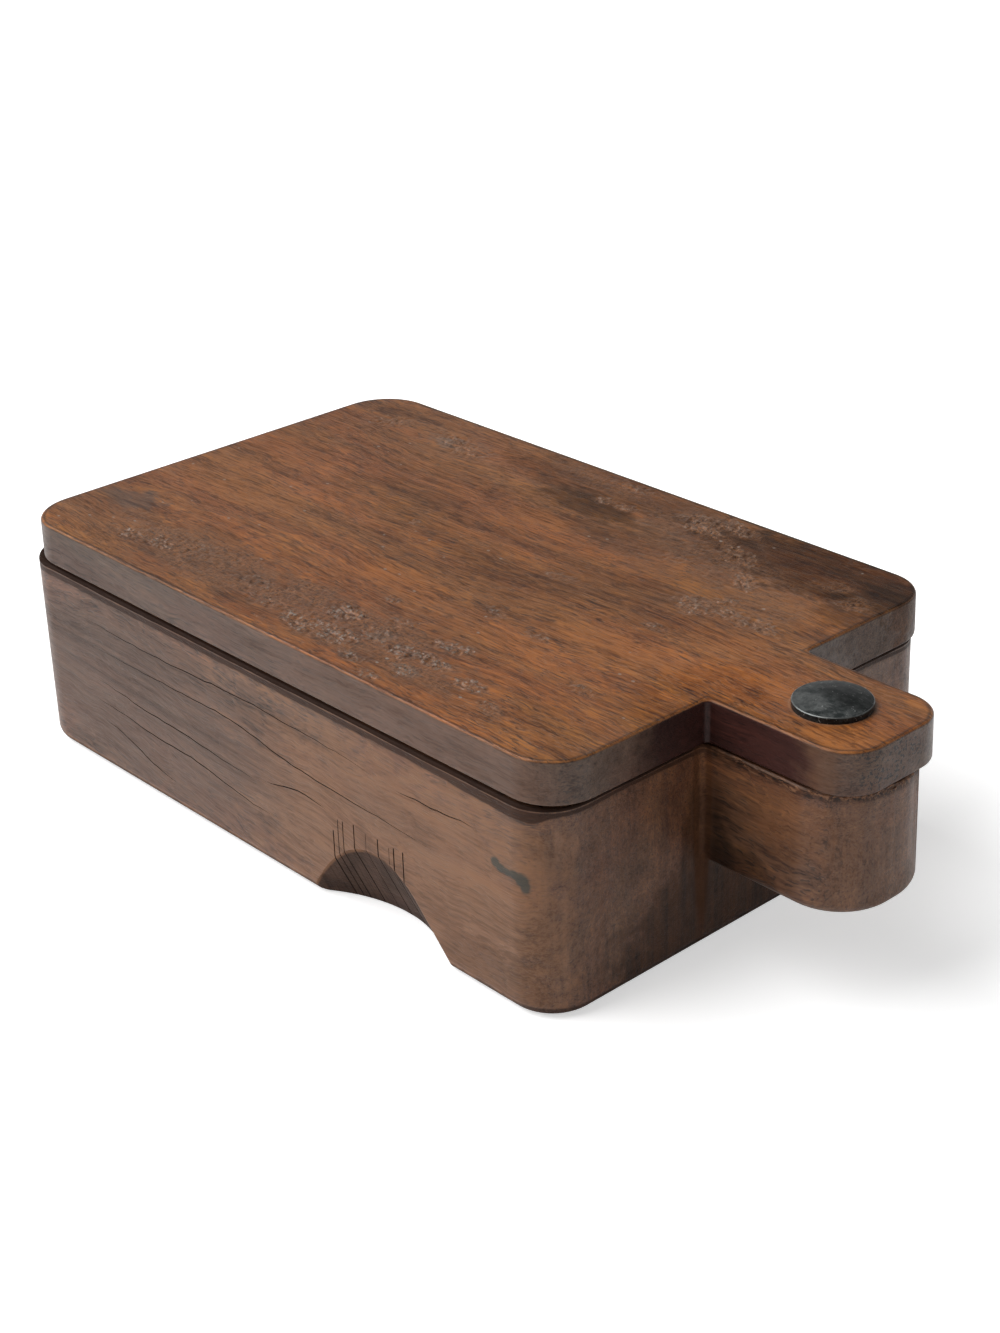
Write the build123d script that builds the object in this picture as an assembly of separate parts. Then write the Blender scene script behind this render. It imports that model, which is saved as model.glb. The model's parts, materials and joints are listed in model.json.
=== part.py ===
from build123d import *
import math
import os

os.makedirs("parts", exist_ok=True)

# A carved wooden box whose lid swivels level on one bolt. Millimetres, +Z up.
# The origin is the middle of the whole footprint on the surface that the box stands on.
# +X points to the handle end, and the finger scoops are in the two long sides.

# Body: one block of wood
body_length = 286.5
body_width = 180.0
body_height = 75.0
body_far_corner = 19.0
body_handle_corner = 16.5
body_foot_edge = 5.0
rim_edge = 1.5

# Handle: a block carved from the same wood at the body's +X end, and the lid's tongue over it
handle_reach = 58.8
handle_width = 46.8
block_depth = 43.0
block_corner = 21.0
block_foot_edge = 5.0
tongue_overhang = 0.5
tongue_corner = 14.0
inner_corner = 1.75

# Pockets carved into the body
pocket_rows = 2
pocket_columns = 3
end_wall = 16.0
side_wall = 14.0
divider = 10.0
floor_thickness = 16.0
pocket_corner = 10.0
pocket_floor_edge = 6.0

# Finger scoops: hand-cut, tilted hollows that take the foot off both long sides.
# Away from the handle the hollow is round, and towards it there is a turn and a straight flank.
scoop_from_block = 81.7
scoop_height = 29.0
scoop_inset = 13.2
scoop_round_radius = 60.0
scoop_turn_radius = 50.0
scoop_flank_angle = 23.5
scoop_edge = 1.5

# Lid: a board over the body, set back at the far end, proud of it at the handle end
lid_set_back = 3.3
lid_overhang = 1.8
lid_side_set_back = 0.5
lid_thickness = 15.0
lid_far_corner = 20.0
lid_handle_corner = 17.5
lid_top_edge = 1.3
lid_bottom_edge = 0.8

# Pivot: bolt, washers and nut
pivot_from_block_end = 27.1
head_diameter = 25.4
head_rim = 2.3
head_dome = 1.3
head_edge = 0.5
shank_diameter = 8.0
neck_length = 5.0
tip_past_nut = 1.6
tip_chamfer = 0.8
tip_sunk = 2.3
spacer_diameter = 24.0
spacer_thickness = 1.0
washer_diameter = 20.0
washer_thickness = 1.6
nut_across_flats = 13.0
nut_height = 6.5
nut_bevel = 0.9
counterbore_room = 1.0

# Fits
turning_clearance = 0.1
seat_clearance = 0.05

# How far an edge may lie from a plane and still count as in it
tolerance = 0.001

# Places that follow from the sizes
total_length = body_length + handle_reach + tongue_overhang
body_start = -total_length / 2
body_end = body_start + body_length
block_end = body_end + handle_reach
block_underside = body_height - block_depth
lid_start = body_start + lid_set_back
board_end = body_end + lid_overhang
tongue_end = block_end + tongue_overhang
lid_width = body_width - 2 * lid_side_set_back
lid_underside = body_height + spacer_thickness
lid_top = lid_underside + lid_thickness
pivot_x = block_end - pivot_from_block_end
shank_radius = shank_diameter / 2
tip = block_underside + tip_sunk
nut_underside = tip + tip_past_nut
washer_underside = nut_underside + nut_height
washer_seat = washer_underside + washer_thickness
counterbore_radius = washer_diameter / 2 + counterbore_room


def rounded_plate(x_low, x_high, width, far_corner, handle_corner, z_low, z_high):
    """A plate centred on the X axis, with one corner radius at each end."""
    with BuildPart() as plate:
        with BuildSketch(Plane.XY.offset(z_low)) as outline:
            with Locations(((x_low + x_high) / 2, 0)):
                Rectangle(x_high - x_low, width)
            fillet(outline.vertices().group_by(Axis.X)[0], far_corner)
            fillet(outline.vertices().group_by(Axis.X)[-1], handle_corner)
        extrude(amount=z_high - z_low)
    return plate.part


def handle_shape(x_from, x_end, radius, z_low, z_high):
    """A straight bar along X, as wide as the handle, whose far end has two rounded corners."""
    x_bend = x_end - radius
    half = handle_width / 2
    flat = half - radius
    with BuildPart() as bar:
        with BuildSketch(Plane.XY.offset(z_low)):
            with BuildLine():
                Line((x_from, -half), (x_bend, -half))
                RadiusArc((x_bend, -half), (x_end, -flat), -radius)
                Line((x_end, -flat), (x_end, flat))
                RadiusArc((x_end, flat), (x_bend, half), -radius)
                Line((x_bend, half), (x_from, half))
                Line((x_from, half), (x_from, -half))
            make_face()
        extrude(amount=z_high - z_low)
    return bar.part


def upright_cylinder(radius, z_low, z_high):
    """A cylinder on the pivot's axis."""
    place = Location((pivot_x, 0, z_low))
    align = (Align.CENTER, Align.CENTER, Align.MIN)
    return place * Cylinder(radius, z_high - z_low, align=align)


def edges_in_plane(part, z):
    """All edges that lie in the level plane at height z."""
    return part.edges().filter_by_position(Axis.Z, z - tolerance, z + tolerance)


def inner_corners(part, x, z_low):
    """The edges along which a handle grows out of the end face at x, from z_low up."""
    reach = handle_width / 2 + tolerance
    found = part.edges().filter_by_position(Axis.X, x - tolerance, x + tolerance)
    found = found.filter_by_position(Axis.Y, -reach, reach)
    return found.filter_by_position(Axis.Z, z_low - tolerance, lid_top)


def pocket_places():
    """The centre of every pocket, and the size of one."""
    inside_length = body_length - 2 * end_wall
    inside_width = body_width - 2 * side_wall
    length = (inside_length - (pocket_columns - 1) * divider) / pocket_columns
    width = (inside_width - (pocket_rows - 1) * divider) / pocket_rows
    places = []
    for column in range(pocket_columns):
        for row in range(pocket_rows):
            x = body_start + end_wall + length / 2 + column * (length + divider)
            y = -body_width / 2 + side_wall + width / 2 + row * (width + divider)
            places.append((x, y))
    return places, length, width


def make_pocket(x, y, length, width):
    """The wood that is carved out of one pocket, its floor edge rounded."""
    with BuildPart() as pocket:
        with BuildSketch(Plane.XY.offset(floor_thickness)):
            with Locations((x, y)):
                RectangleRounded(length, width, pocket_corner)
        extrude(amount=body_height - floor_thickness)
        fillet(pocket.faces().sort_by(Axis.Z)[0].edges(), pocket_floor_edge)
    return pocket.part


def make_scoop():
    """The tilted tool that cuts the finger scoop on the +Y side.

    In its own section x runs along the box and y out of the wood, from the crown of the hollow.
    """
    crest = math.hypot(scoop_inset, scoop_height)
    reach = 1.5 * crest
    outside = 2 * crest
    round_depth = scoop_round_radius - math.sqrt(scoop_round_radius ** 2 - reach ** 2)
    angle = math.radians(scoop_flank_angle)
    turn_x = scoop_turn_radius * math.sin(angle)
    turn_y = scoop_turn_radius * (1 - math.cos(angle))
    flank_y = turn_y + (reach - turn_x) * math.tan(angle)
    section = Plane(
        origin=(body_end - scoop_from_block, body_width / 2 - scoop_inset, 0),
        x_dir=(1, 0, 0),
        z_dir=(0, scoop_inset, scoop_height))
    with BuildPart() as tool:
        with BuildSketch(section):
            with BuildLine():
                RadiusArc((-reach, round_depth), (0, 0), -scoop_round_radius)
                RadiusArc((0, 0), (turn_x, turn_y), -scoop_turn_radius)
                Polyline((turn_x, turn_y), (reach, flank_y), (reach, outside),
                         (-reach, outside), (-reach, round_depth))
            make_face()
        extrude(amount=outside, both=True)
    return tool.part


def cut_scoop(body, tool):
    """The body with a finger scoop cut by the tool, and the new edges softened."""
    hollowed = body - tool
    return fillet(new_edges(body, tool, combined=hollowed), scoop_edge)


def make_box_body():
    """The carved body: outer shape, pockets, finger scoops and the pivot's bore."""
    block = rounded_plate(body_start, body_end, body_width, body_far_corner, body_handle_corner,
                          0, body_height)
    root = body_end - body_handle_corner
    handle = handle_shape(root, block_end, block_corner, block_underside, body_height)
    foot = edges_in_plane(handle, block_underside).sort_by(Axis.X)[1:]
    body = block + fillet(foot, block_foot_edge)
    body = fillet(inner_corners(body, body_end, block_underside), inner_corner)
    places, length, width = pocket_places()
    for x, y in places:
        body -= make_pocket(x, y, length, width)
    body = fillet(edges_in_plane(body, body_height), rim_edge)
    body = fillet(edges_in_plane(body, 0), body_foot_edge)
    scoop = make_scoop()
    for tool in (scoop, mirror(scoop, about=Plane.XZ)):
        body = cut_scoop(body, tool)
    body -= upright_cylinder(shank_radius + turning_clearance, washer_seat, body_height)
    body -= upright_cylinder(counterbore_radius, block_underside, washer_seat)
    return body


def make_lid():
    """The lid board with its tongue, and the bolt's hole with a square top."""
    board = rounded_plate(lid_start, board_end, lid_width, lid_far_corner, lid_handle_corner,
                          lid_underside, lid_top)
    root = board_end - lid_handle_corner
    tongue = handle_shape(root, tongue_end, tongue_corner, lid_underside, lid_top)
    lid = board + tongue
    upright = inner_corners(lid, board_end, lid_underside).filter_by(Axis.Z)
    lid = fillet(upright, inner_corner)
    lid = fillet(edges_in_plane(lid, lid_top), lid_top_edge)
    lid = fillet(edges_in_plane(lid, lid_underside), lid_bottom_edge)
    lid -= upright_cylinder(shank_radius + seat_clearance, lid_underside, lid_top)
    seat = shank_diameter + 2 * seat_clearance
    depth = neck_length + seat_clearance
    align = (Align.CENTER, Align.CENTER, Align.MAX)
    lid -= Location((pivot_x, 0, lid_top)) * Box(seat, seat, depth, align=align)
    return lid


def make_pivot_bolt():
    """The bolt: a low domed head, a square neck held in the lid, and a plain shank."""
    head_radius = head_diameter / 2
    rim_top = lid_top + head_rim
    crown = rim_top + head_dome
    shoulder = head_radius - head_edge
    dome_radius = (shoulder ** 2 + head_dome ** 2) / (2 * head_dome)
    with BuildPart() as turned:
        with BuildSketch(Plane.XZ):
            with BuildLine():
                Polyline((0, crown), (0, tip), (shank_radius - tip_chamfer, tip),
                         (shank_radius, tip + tip_chamfer), (shank_radius, lid_top),
                         (head_radius, lid_top), (head_radius, rim_top - head_edge),
                         (shoulder, rim_top))
                RadiusArc((shoulder, rim_top), (0, crown), -dome_radius)
            make_face()
        revolve(axis=Axis.Z)
    align = (Align.CENTER, Align.CENTER, Align.MAX)
    neck = Box(shank_diameter, shank_diameter, neck_length, align=align)
    return Location((pivot_x, 0, 0)) * (turned.part + Location((0, 0, lid_top)) * neck)


def make_washer(outer_diameter, z_low, thickness):
    """A flat ring on the shank."""
    ring = upright_cylinder(outer_diameter / 2, z_low, z_low + thickness)
    return ring - upright_cylinder(shank_radius + turning_clearance, z_low, z_low + thickness)


def make_pivot_nut():
    """A hexagon nut, its outer face bevelled, closing the bolt under the handle block."""
    corner_radius = nut_across_flats / math.sqrt(3)
    with BuildPart() as nut:
        with BuildSketch(Plane.XY.offset(nut_underside)):
            with Locations((pivot_x, 0)):
                RegularPolygon(corner_radius, 6)
        extrude(amount=nut_height)
    bevel = upright_cylinder(corner_radius, nut_underside, washer_underside)
    bevel = chamfer(edges_in_plane(bevel, nut_underside), nut_bevel)
    shape = nut.part & bevel
    return shape - upright_cylinder(shank_radius + seat_clearance, nut_underside, washer_underside)


export_step(make_box_body(), "parts/box_body.step")
export_step(make_lid(), "parts/lid.step")
export_step(make_pivot_bolt(), "parts/pivot_bolt.step")
export_step(make_washer(spacer_diameter, body_height, spacer_thickness), "parts/spacer_washer.step")
export_step(make_washer(washer_diameter, washer_underside, washer_thickness), "parts/base_washer.step")
export_step(make_pivot_nut(), "parts/pivot_nut.step")
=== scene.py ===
import json
import math
from contextlib import contextmanager

import bmesh
import bpy
from mathutils import Matrix, Vector, noise


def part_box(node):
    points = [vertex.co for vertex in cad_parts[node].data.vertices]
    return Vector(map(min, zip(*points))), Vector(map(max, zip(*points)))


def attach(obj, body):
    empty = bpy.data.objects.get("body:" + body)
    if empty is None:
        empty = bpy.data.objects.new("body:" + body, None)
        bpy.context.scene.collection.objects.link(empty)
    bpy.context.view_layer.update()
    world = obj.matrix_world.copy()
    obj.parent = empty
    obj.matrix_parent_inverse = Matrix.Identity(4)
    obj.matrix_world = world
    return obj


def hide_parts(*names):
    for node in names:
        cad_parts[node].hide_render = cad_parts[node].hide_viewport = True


bl_info = {
    "name": "Swivel lid box",
    "version": (1, 0, 0),
    "blender": (4, 5, 0),
    "location": "View3D > Sidebar > Box",
    "description": "Dresses a carved wooden box: worn wood, torn grain, saw kerfs and blackened iron",
    "category": "Object",
}

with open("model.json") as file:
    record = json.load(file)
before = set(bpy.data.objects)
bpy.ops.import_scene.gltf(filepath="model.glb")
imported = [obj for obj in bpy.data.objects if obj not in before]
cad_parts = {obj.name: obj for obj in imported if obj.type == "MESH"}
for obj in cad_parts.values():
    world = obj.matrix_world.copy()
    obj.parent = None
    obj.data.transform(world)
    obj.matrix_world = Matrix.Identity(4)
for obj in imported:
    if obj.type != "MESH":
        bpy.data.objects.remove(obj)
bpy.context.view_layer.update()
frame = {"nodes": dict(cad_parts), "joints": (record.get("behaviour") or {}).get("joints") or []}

# One millimetre, in the metres of the frame
MM = 0.001

# Places that follow from the frame
body_low, body_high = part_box("box_body")
lid_low, lid_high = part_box("lid")
bolt_low, bolt_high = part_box("pivot_bolt")
pivot = Vector(frame["joints"][0]["pos_m"])

# The body without its handle block, where the block starts and how far its rim reaches to each side,
# where the lid's board ends, and half the width of its tongue
body_length = 286.5 * MM
block_start = 113.6 * MM
block_reach = 24 * MM
board_end = 115.4 * MM
tongue_half = 23.4 * MM

# Shape of the finger scoops, as the body has it
scoop_crown_x = 31.9 * MM
scoop_round = 60 * MM
scoop_turn = 50 * MM
scoop_flank = math.radians(23.5)
scoop_tilt = 13.2 / 29
scoop_lean = 29 / math.hypot(13.2, 29)
scoop_inner = body_high.y - 13.2 * MM

# Cracks along the grain in the near long side, each by the few points (x, z) that it passes, in mm
NEAR_CRACKS = (
    ((-137, 60.3), (-94, 59.5), (-29, 61.1), (8, 60.2), (37, 58.4)),
    ((42, 57.4), (62, 58.0), (82, 59.3)),
    ((-128, 50.1), (-48, 50.6), (-6, 45.6), (5, 44.7), (27, 44.0), (65, 42.6)),
    ((-128, 37.1), (-89, 34.5), (-32, 31.6)),
    ((-27, 33.6), (-7, 36.9), (7, 35.9)),
    ((-130, 28.6), (-80, 25.9), (-23, 20.8)),
    ((-126, 21.1), (-81, 11.5)),
)
BACK_CRACKS = (
    ((-118, 47.0), (-60, 49.2), (-4, 46.0)),
    ((-70, 30.5), (-12, 27.8), (16, 29.4)),
    ((52, 57.5), (88, 60.1), (98, 59.2)),
)

# Saw kerfs of the finger scoops, each by its x and by how far it runs up the side, in mm, and by
# its strength, which is 1 for a plain one
NEAR_KERFS = ((9.8, 29.3, 1.15), (12.4, 34.3, 0.8), (15.0, 34.7, 0.9), (20.8, 35.8, 1.1),
              (26.8, 34.8, 0.5), (33.0, 35.4, 1.2), (38.6, 34.4, 0.5), (41.0, 35.4, 1.3),
              (45.6, 35.8, 1.15))
BACK_KERFS = ((14.0, 31.5, 0.9), (19.5, 34.0, 1.2), (28.0, 33.2, 0.6), (36.5, 35.0, 1.1),
              (42.0, 34.1, 0.8))

# Torn grain on the lid: centre x and y, half length and half width in mm, turn in degrees, how
# rough the ground is and how flaky, both from 0 to 1
TORN_PATCHES = (
    (-8, -66, 66, 17, -2, 0.8, 0.16), (-84, -66, 52, 17, 2, 0.7, 0.06),
    (30, -70, 34, 12, -4, 0.6, 0.12), (36, 62, 54, 18, -24, 0.5, 0.14),
    (78, 44, 34, 18, -50, 0.35, 0.10), (-104, -67, 28, 10, 3, 0.75, 0.28),
    (-135, -62, 12, 8, 0, 0.4, 0.15), (-100, 68, 26, 9, -6, 0.5, 0.18),
    (-30, 80, 36, 9, -2, 0.5, 0.12), (27, 40, 22, 12, 0, 0.25, 0.05),
    (-140, 67, 12, 6, 20, 0.6, 0.55), (-101, 68, 18, 7, -15, 0.7, 0.65),
    (-122, -72, 9, 5, 0, 0.8, 0.75), (-108, -70, 10, 6, 0, 0.9, 0.8),
    (-98, -62, 12, 5, 0, 0.6, 0.5), (-55, -67, 12, 6, 0, 0.8, 0.45),
    (-42, -72, 12, 6, 0, 0.8, 0.5), (-20, -75, 13, 7, 0, 0.9, 0.75),
    (-13, -61, 12, 7, 10, 0.95, 0.9), (-3, -73, 12, 6, -10, 0.95, 0.85),
    (8, -64, 9, 8, 0, 0.8, 0.6), (13, -81, 7, 4, 0, 0.8, 0.85),
    (24, -67, 10, 5, 0, 0.9, 0.85), (35, -65, 10, 5, -10, 0.95, 0.95),
    (34, -75, 8, 4, 0, 0.8, 0.6), (32, -53, 10, 5, 15, 0.9, 0.8),
    (7, -53, 9, 4.5, 0, 0.7, 0.5), (-10, -43, 5, 3, 0, 0.6, 0.7),
    (26, -85, 8, 3, 0, 0.6, 0.7), (56, -68, 10, 4.5, -10, 0.8, 0.7),
    (72, -74, 9, 4, -15, 0.6, 0.5), (84, -46, 9, 3.5, -10, 0.5, 0.5),
    (22, -26, 8, 3.5, -12, 0.6, 0.6), (45, -29, 8, 3.5, -10, 0.6, 0.6),
    (68, 2, 5, 3, 0, 0.5, 0.7), (-56, 5, 4, 3, 0, 0.5, 0.6),
    (17, 9, 9, 4, 0, 0.5, 0.4), (-20, 82, 12, 5, 0, 0.7, 0.6),
    (-19, 67, 7, 4, 0, 0.6, 0.65), (-9, 67, 8, 4, 0, 0.6, 0.65),
    (22, 74, 15, 9, -8, 0.9, 0.85), (33, 80, 14, 6, -8, 0.9, 0.85),
    (50, 63, 13, 8, -20, 0.8, 0.75), (66, 48, 11, 6, -60, 0.85, 0.85),
    (58, 55, 10, 7, -40, 0.6, 0.4), (36, 48, 9, 6, 0, 0.5, 0.45),
    (66, 24, 13, 8, 0, 0.75, 0.65), (72, 32, 8, 6, 0, 0.7, 0.65),
    (88, 26, 16, 6, -6, 0.75, 0.7), (104, 60, 9, 7, 0, 0.5, 0.45),
    (90, 66, 12, 6, 20, 0.4, 0.35),
)

# Lighter and darker areas of the lid's top: centre x and y, half length and half width in mm, amount
ORANGE_AREAS = (
    (-27, 40, 17, 7, 0.6), (94, 10, 20, 10, 0.5), (39, -39, 26, 7, 0.2),
    (-20, -30, 26, 9, 0.55), (128, 0, 14, 12, 0.3), (-150, 0, 22, 40, 0.25),
    (-59, -44, 34, 8, 0.05), (72, -18, 28, 10, 0.5), (160, -14, 12, 9, 0.8), (-120, -20, 30, 12, 0.4),
)
DARK_AREAS = (
    (78, 74, 66, 24, 0.66), (-20, 78, 70, 18, 0.36), (36, 62, 40, 18, 0.22), (9, 46, 22, 11, 0.22),
    (-150, 45, 26, 46, 0.1), (-60, -66, 46, 14, 0.18), (110, 62, 20, 26, 0.4),
    (-20, 60, 28, 10, 0.5), (93, -64, 20, 10, 0.14), (-10, 26, 115, 42, 0.15),
)

BLACK = (0, 0, 0)


# Sizes and colours that a user would change

def length_setting(name, text, millimetres, low=0):
    """A length whose default is given in millimetres."""
    return bpy.props.FloatProperty(
        name=name, description=text, default=millimetres * MM, min=low, unit="LENGTH", precision=5)


def angle_setting(name, text, degrees):
    """An angle whose default is given in degrees."""
    return bpy.props.FloatProperty(
        name=name, description=text, default=math.radians(degrees), subtype="ANGLE")


def share_setting(name, text, share):
    """A share from 0 to 1."""
    return bpy.props.FloatProperty(
        name=name, description=text, default=share, min=0, max=1, subtype="FACTOR")


def strength_setting(name, text, strength):
    """A plain strength of a lamp or a gloss."""
    return bpy.props.FloatProperty(name=name, description=text, default=strength, min=0)


def colour_setting(name, text, red, green, blue):
    """A colour in linear light."""
    return bpy.props.FloatVectorProperty(
        name=name, description=text, default=(red, green, blue), size=3, min=0, max=1,
        subtype="COLOR")


class BodyCarving(bpy.types.PropertyGroup):
    """What age and tools have left on the body."""

    crack_width: length_setting("Crack width", "Width of a grain crack at its middle", 0.85)
    crack_depth: length_setting("Crack depth", "Depth of a grain crack", 1.2)
    kerf_width: length_setting("Kerf width", "Width of a saw kerf in a finger scoop", 0.45)
    kerf_depth: length_setting("Kerf depth", "How far a kerf runs into a finger scoop", 0.8)
    rim_step: length_setting("Rim step", "Distance between the cuts that divide the rim", 6.0)
    chip_step: length_setting("Chip step", "Distance between the cuts in the block's rim", 0.9)
    rim_wear: length_setting("Rim wear", "Most wood that is worn off the rim", 0.35)
    chip_depth: length_setting("Chip depth", "Depth of the chips in the handle block's rim", 0.8)


class LidCarving(bpy.types.PropertyGroup):
    """What age and tools have left on the lid."""

    board_step: length_setting("Board step", "Cell size of the lid's even top", 5.0)
    torn_cuts: bpy.props.IntProperty(
        name="Torn cuts", description="Cuts that divide each cell inside a torn patch",
        default=9, min=1, max=12)
    pit_depth: length_setting("Pit depth", "Depth of the pits in torn grain", 0.48)
    flake_height: length_setting("Flake height", "Height of the flakes in torn grain", 0.3)
    edge_wear: length_setting("Edge wear", "Most wood that is worn off the lid's edge", 0.3)


class BoltForging(bpy.types.PropertyGroup):
    """Shape of the forged bolt."""

    rim_height: length_setting("Rim height", "Height of the head's straight rim", 2.3)
    rim_round: length_setting("Rim round", "Rounding of the head's rim", 0.55)
    dents: length_setting("Dents", "Depth of the hammer marks on the head", 0.07)
    thread_pitch: length_setting("Thread pitch", "Rise of one turn of the thread", 1.25)
    thread_depth: length_setting("Thread depth", "Depth of the thread", 0.55)
    thread_length: length_setting("Thread length", "Length of the threaded end", 20.0)
    shank_radius: length_setting("Shank radius", "Half the shank's diameter", 4.0)
    neck_length: length_setting("Neck length", "Depth of the square neck under the head", 5.0)


class WoodFinish(bpy.types.PropertyGroup):
    """Colours and gloss of the stained wood."""

    lid_light: colour_setting("Lid light", "Lightest streaks of the lid's top", 0.40, 0.136, 0.025)
    lid_middle: colour_setting("Lid middle", "Middle tone of the lid's top", 0.222, 0.073, 0.016)
    lid_dark: colour_setting("Lid dark", "Darkest streaks of the lid's top", 0.074, 0.022, 0.007)
    fibre: colour_setting("Fibre", "Pale fibres on the lid's top", 0.3175, 0.1371, 0.05635)
    faded: colour_setting("Faded", "Faded place near the lid's far end", 0.070, 0.052, 0.043)
    edge_light: colour_setting("Edge light", "Lightest tone of the lid's sides", 0.138, 0.064, 0.032)
    edge_middle: colour_setting("Edge middle", "Middle tone of the lid's sides", 0.086, 0.039, 0.020)
    # Painted shade: this tint multiplies the lid's side in the corner beside the tongue
    nook_shade: colour_setting("Nook", "What the nook at the tongue leaves of a tone", 0.37, 0.25, 0.38)
    side_light: colour_setting("Side light", "Lightest tone of the body", 0.23, 0.092, 0.034)
    side_middle: colour_setting("Side middle", "Middle tone of the body", 0.125, 0.05, 0.022)
    side_dark: colour_setting("Side dark", "Darkest tone of the sides", 0.042, 0.016, 0.008)
    # Also the colour of the painted highlight on the near rounded corner
    sapwood_and_highlight: colour_setting("Sapwood", "Pale area of the near side", 0.22, 0.092, 0.032)
    old: colour_setting("Old wood", "Calm, aged part of the near side", 0.105, 0.049, 0.027)
    # Colour of the down-facing scoop walls: dirt, and painted shade under the overhang
    scoop: colour_setting("Scoop", "Grimy wood of the finger scoops", 0.063, 0.037, 0.029)
    # The rim band is partly rubbed wood and partly painted shade under the lid's edge
    burnished_and_shade: colour_setting("Burnished", "Dark, rubbed band under the rim", 0.034, 0.015, 0.009)
    # Painted shade: the near-black rim where the lid's edge hides it
    under_lid_shade: colour_setting("Covered", "Rim that the lid covers", 0.016, 0.006, 0.003)
    smudge: colour_setting("Smudge", "Green smudge near the handle", 0.022, 0.036, 0.032)
    pore: colour_setting("Pore", "Pores and cracks", 0.012, 0.006, 0.004)
    bare: colour_setting("Bare wood", "Bare wood inside the pockets", 0.30, 0.155, 0.075)
    cut: colour_setting("Cut wood", "Inside of cracks and saw kerfs", 0.022, 0.011, 0.007)
    torn: colour_setting("Torn ground", "Dull rough wood of the torn patches", 0.112, 0.064, 0.044)
    chalk: colour_setting("Chalk", "Dusty flakes of torn grain", 0.31, 0.262, 0.225)
    tan: colour_setting("Tan", "Clean flakes of torn grain", 0.25, 0.138, 0.082)
    grey: colour_setting("Grey chip", "Smooth grey chips in the torn patches", 0.17, 0.14, 0.115)
    worn: colour_setting("Worn", "Wood that shows where an edge is rubbed", 0.30, 0.145, 0.075)
    wood_gloss: strength_setting("Wood gloss", "Strength of the bare wood's reflection", 0.15)
    lid_wax: share_setting("Lid wax", "Thickness of the wax on the lid", 0.80)
    body_wax: share_setting("Body wax", "Thickness of the wax on the body", 0.74)


class MetalFinish(bpy.types.PropertyGroup):
    """Colours of the iron bolt and of the plated washers and nut."""

    iron: colour_setting("Iron", "Blackened iron", 0.036, 0.043, 0.043)
    # Also the colour of the painted highlight on the bolt's head
    rubbed_and_lit_iron: colour_setting("Rubbed iron", "Iron where it is rubbed", 0.36, 0.37, 0.36)
    steel: colour_setting("Steel", "Dull plated steel", 0.42, 0.41, 0.39)
    tarnish: colour_setting("Tarnish", "Tarnished patches of the steel", 0.16, 0.13, 0.10)


class StageSetting(bpy.types.PropertyGroup):
    """Camera, floor and lights."""

    azimuth: angle_setting("Azimuth", "Camera's turn round the box from its near side", 48.3376)
    elevation: angle_setting("Elevation", "Camera's angle above the horizon", 26.4325)
    roll: angle_setting("Roll", "Camera's tilt about its own view", -1.9831)
    distance: length_setting("Distance", "Camera's distance from the middle of the lid", 867.47)
    aim_right: length_setting("Aim right", "How far right of the lid's middle the view aims", 14.27)
    aim_up: length_setting("Aim up", "How far above the frame's zero the view aims", 39.35)
    board_centre: length_setting(
        "Board centre", "Middle of the lid's board along the box", -27.1, -1)
    focal_length: bpy.props.FloatProperty(
        name="Focal length", description="Lens for a 36 mm sensor along the tall side",
        default=63.436, unit="CAMERA")
    floor_radius: length_setting("Floor radius", "Radius of the level floor", 5000)
    cove_height: length_setting("Cove height", "Height of the floor's upturned rim", 1200)
    floor: colour_setting("Floor", "Floor and its upturned rim", 0.86, 0.86, 0.86)
    floor_glow: strength_setting("Floor glow", "Extra white of the floor in the view", 0.55)
    floor_sheen: strength_setting("Floor sheen", "Extra white of the floor in reflections", 0.12)
    sky: strength_setting("Sky", "Strength of the even light from all round", 0.17)
    sun: strength_setting("Sun", "Strength of the wide soft lamp", 3.4)
    sun_spread: angle_setting("Sun spread", "How wide the soft lamp is", 60)
    sun_turn: angle_setting("Sun turn", "Where the soft lamp stands round the box", -50)
    sun_height: angle_setting("Sun height", "How high the soft lamp stands", 48)


# Modelling helpers

def only(piece):
    """Makes a piece the active one, and the only one that is selected."""
    bpy.ops.object.select_all(action="DESELECT")
    piece.select_set(True)
    bpy.context.view_layer.objects.active = piece


@contextmanager
def editing(piece):
    """Edit mode on one piece, with nothing else selected."""
    only(piece)
    bpy.ops.object.mode_set(mode="EDIT")
    yield
    bpy.ops.object.mode_set(mode="OBJECT")


def pick(piece, kind, wanted):
    """Selects the faces or edges that are wanted, and nothing else. Works in edit mode."""
    bpy.ops.mesh.select_mode(type=kind)
    bpy.ops.mesh.select_all(action="DESELECT")
    mesh = bmesh.from_edit_mesh(piece.data)
    for part in mesh.faces if kind == "FACE" else mesh.edges:
        if wanted(part):
            part.select_set(True)
    bmesh.update_edit_mesh(piece.data)


def pick_long(piece, axis, length):
    """Selects the edges that run along an axis for more than a length."""
    pick(piece, "EDGE", lambda edge: abs(
        edge.verts[0].co[axis] - edge.verts[1].co[axis]) > length)


def slice_faces(piece, wanted, axis, low, high, step):
    """Cuts the wanted faces by evenly spaced planes across one axis."""
    normal = Vector((0, 0, 0))
    normal[axis] = 1
    count = round((high - low) / step)
    for number in range(1, count):
        pick(piece, "FACE", wanted)
        place = normal * (low + number * (high - low) / count)
        bpy.ops.mesh.bisect(plane_co=place, plane_no=normal)


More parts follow.
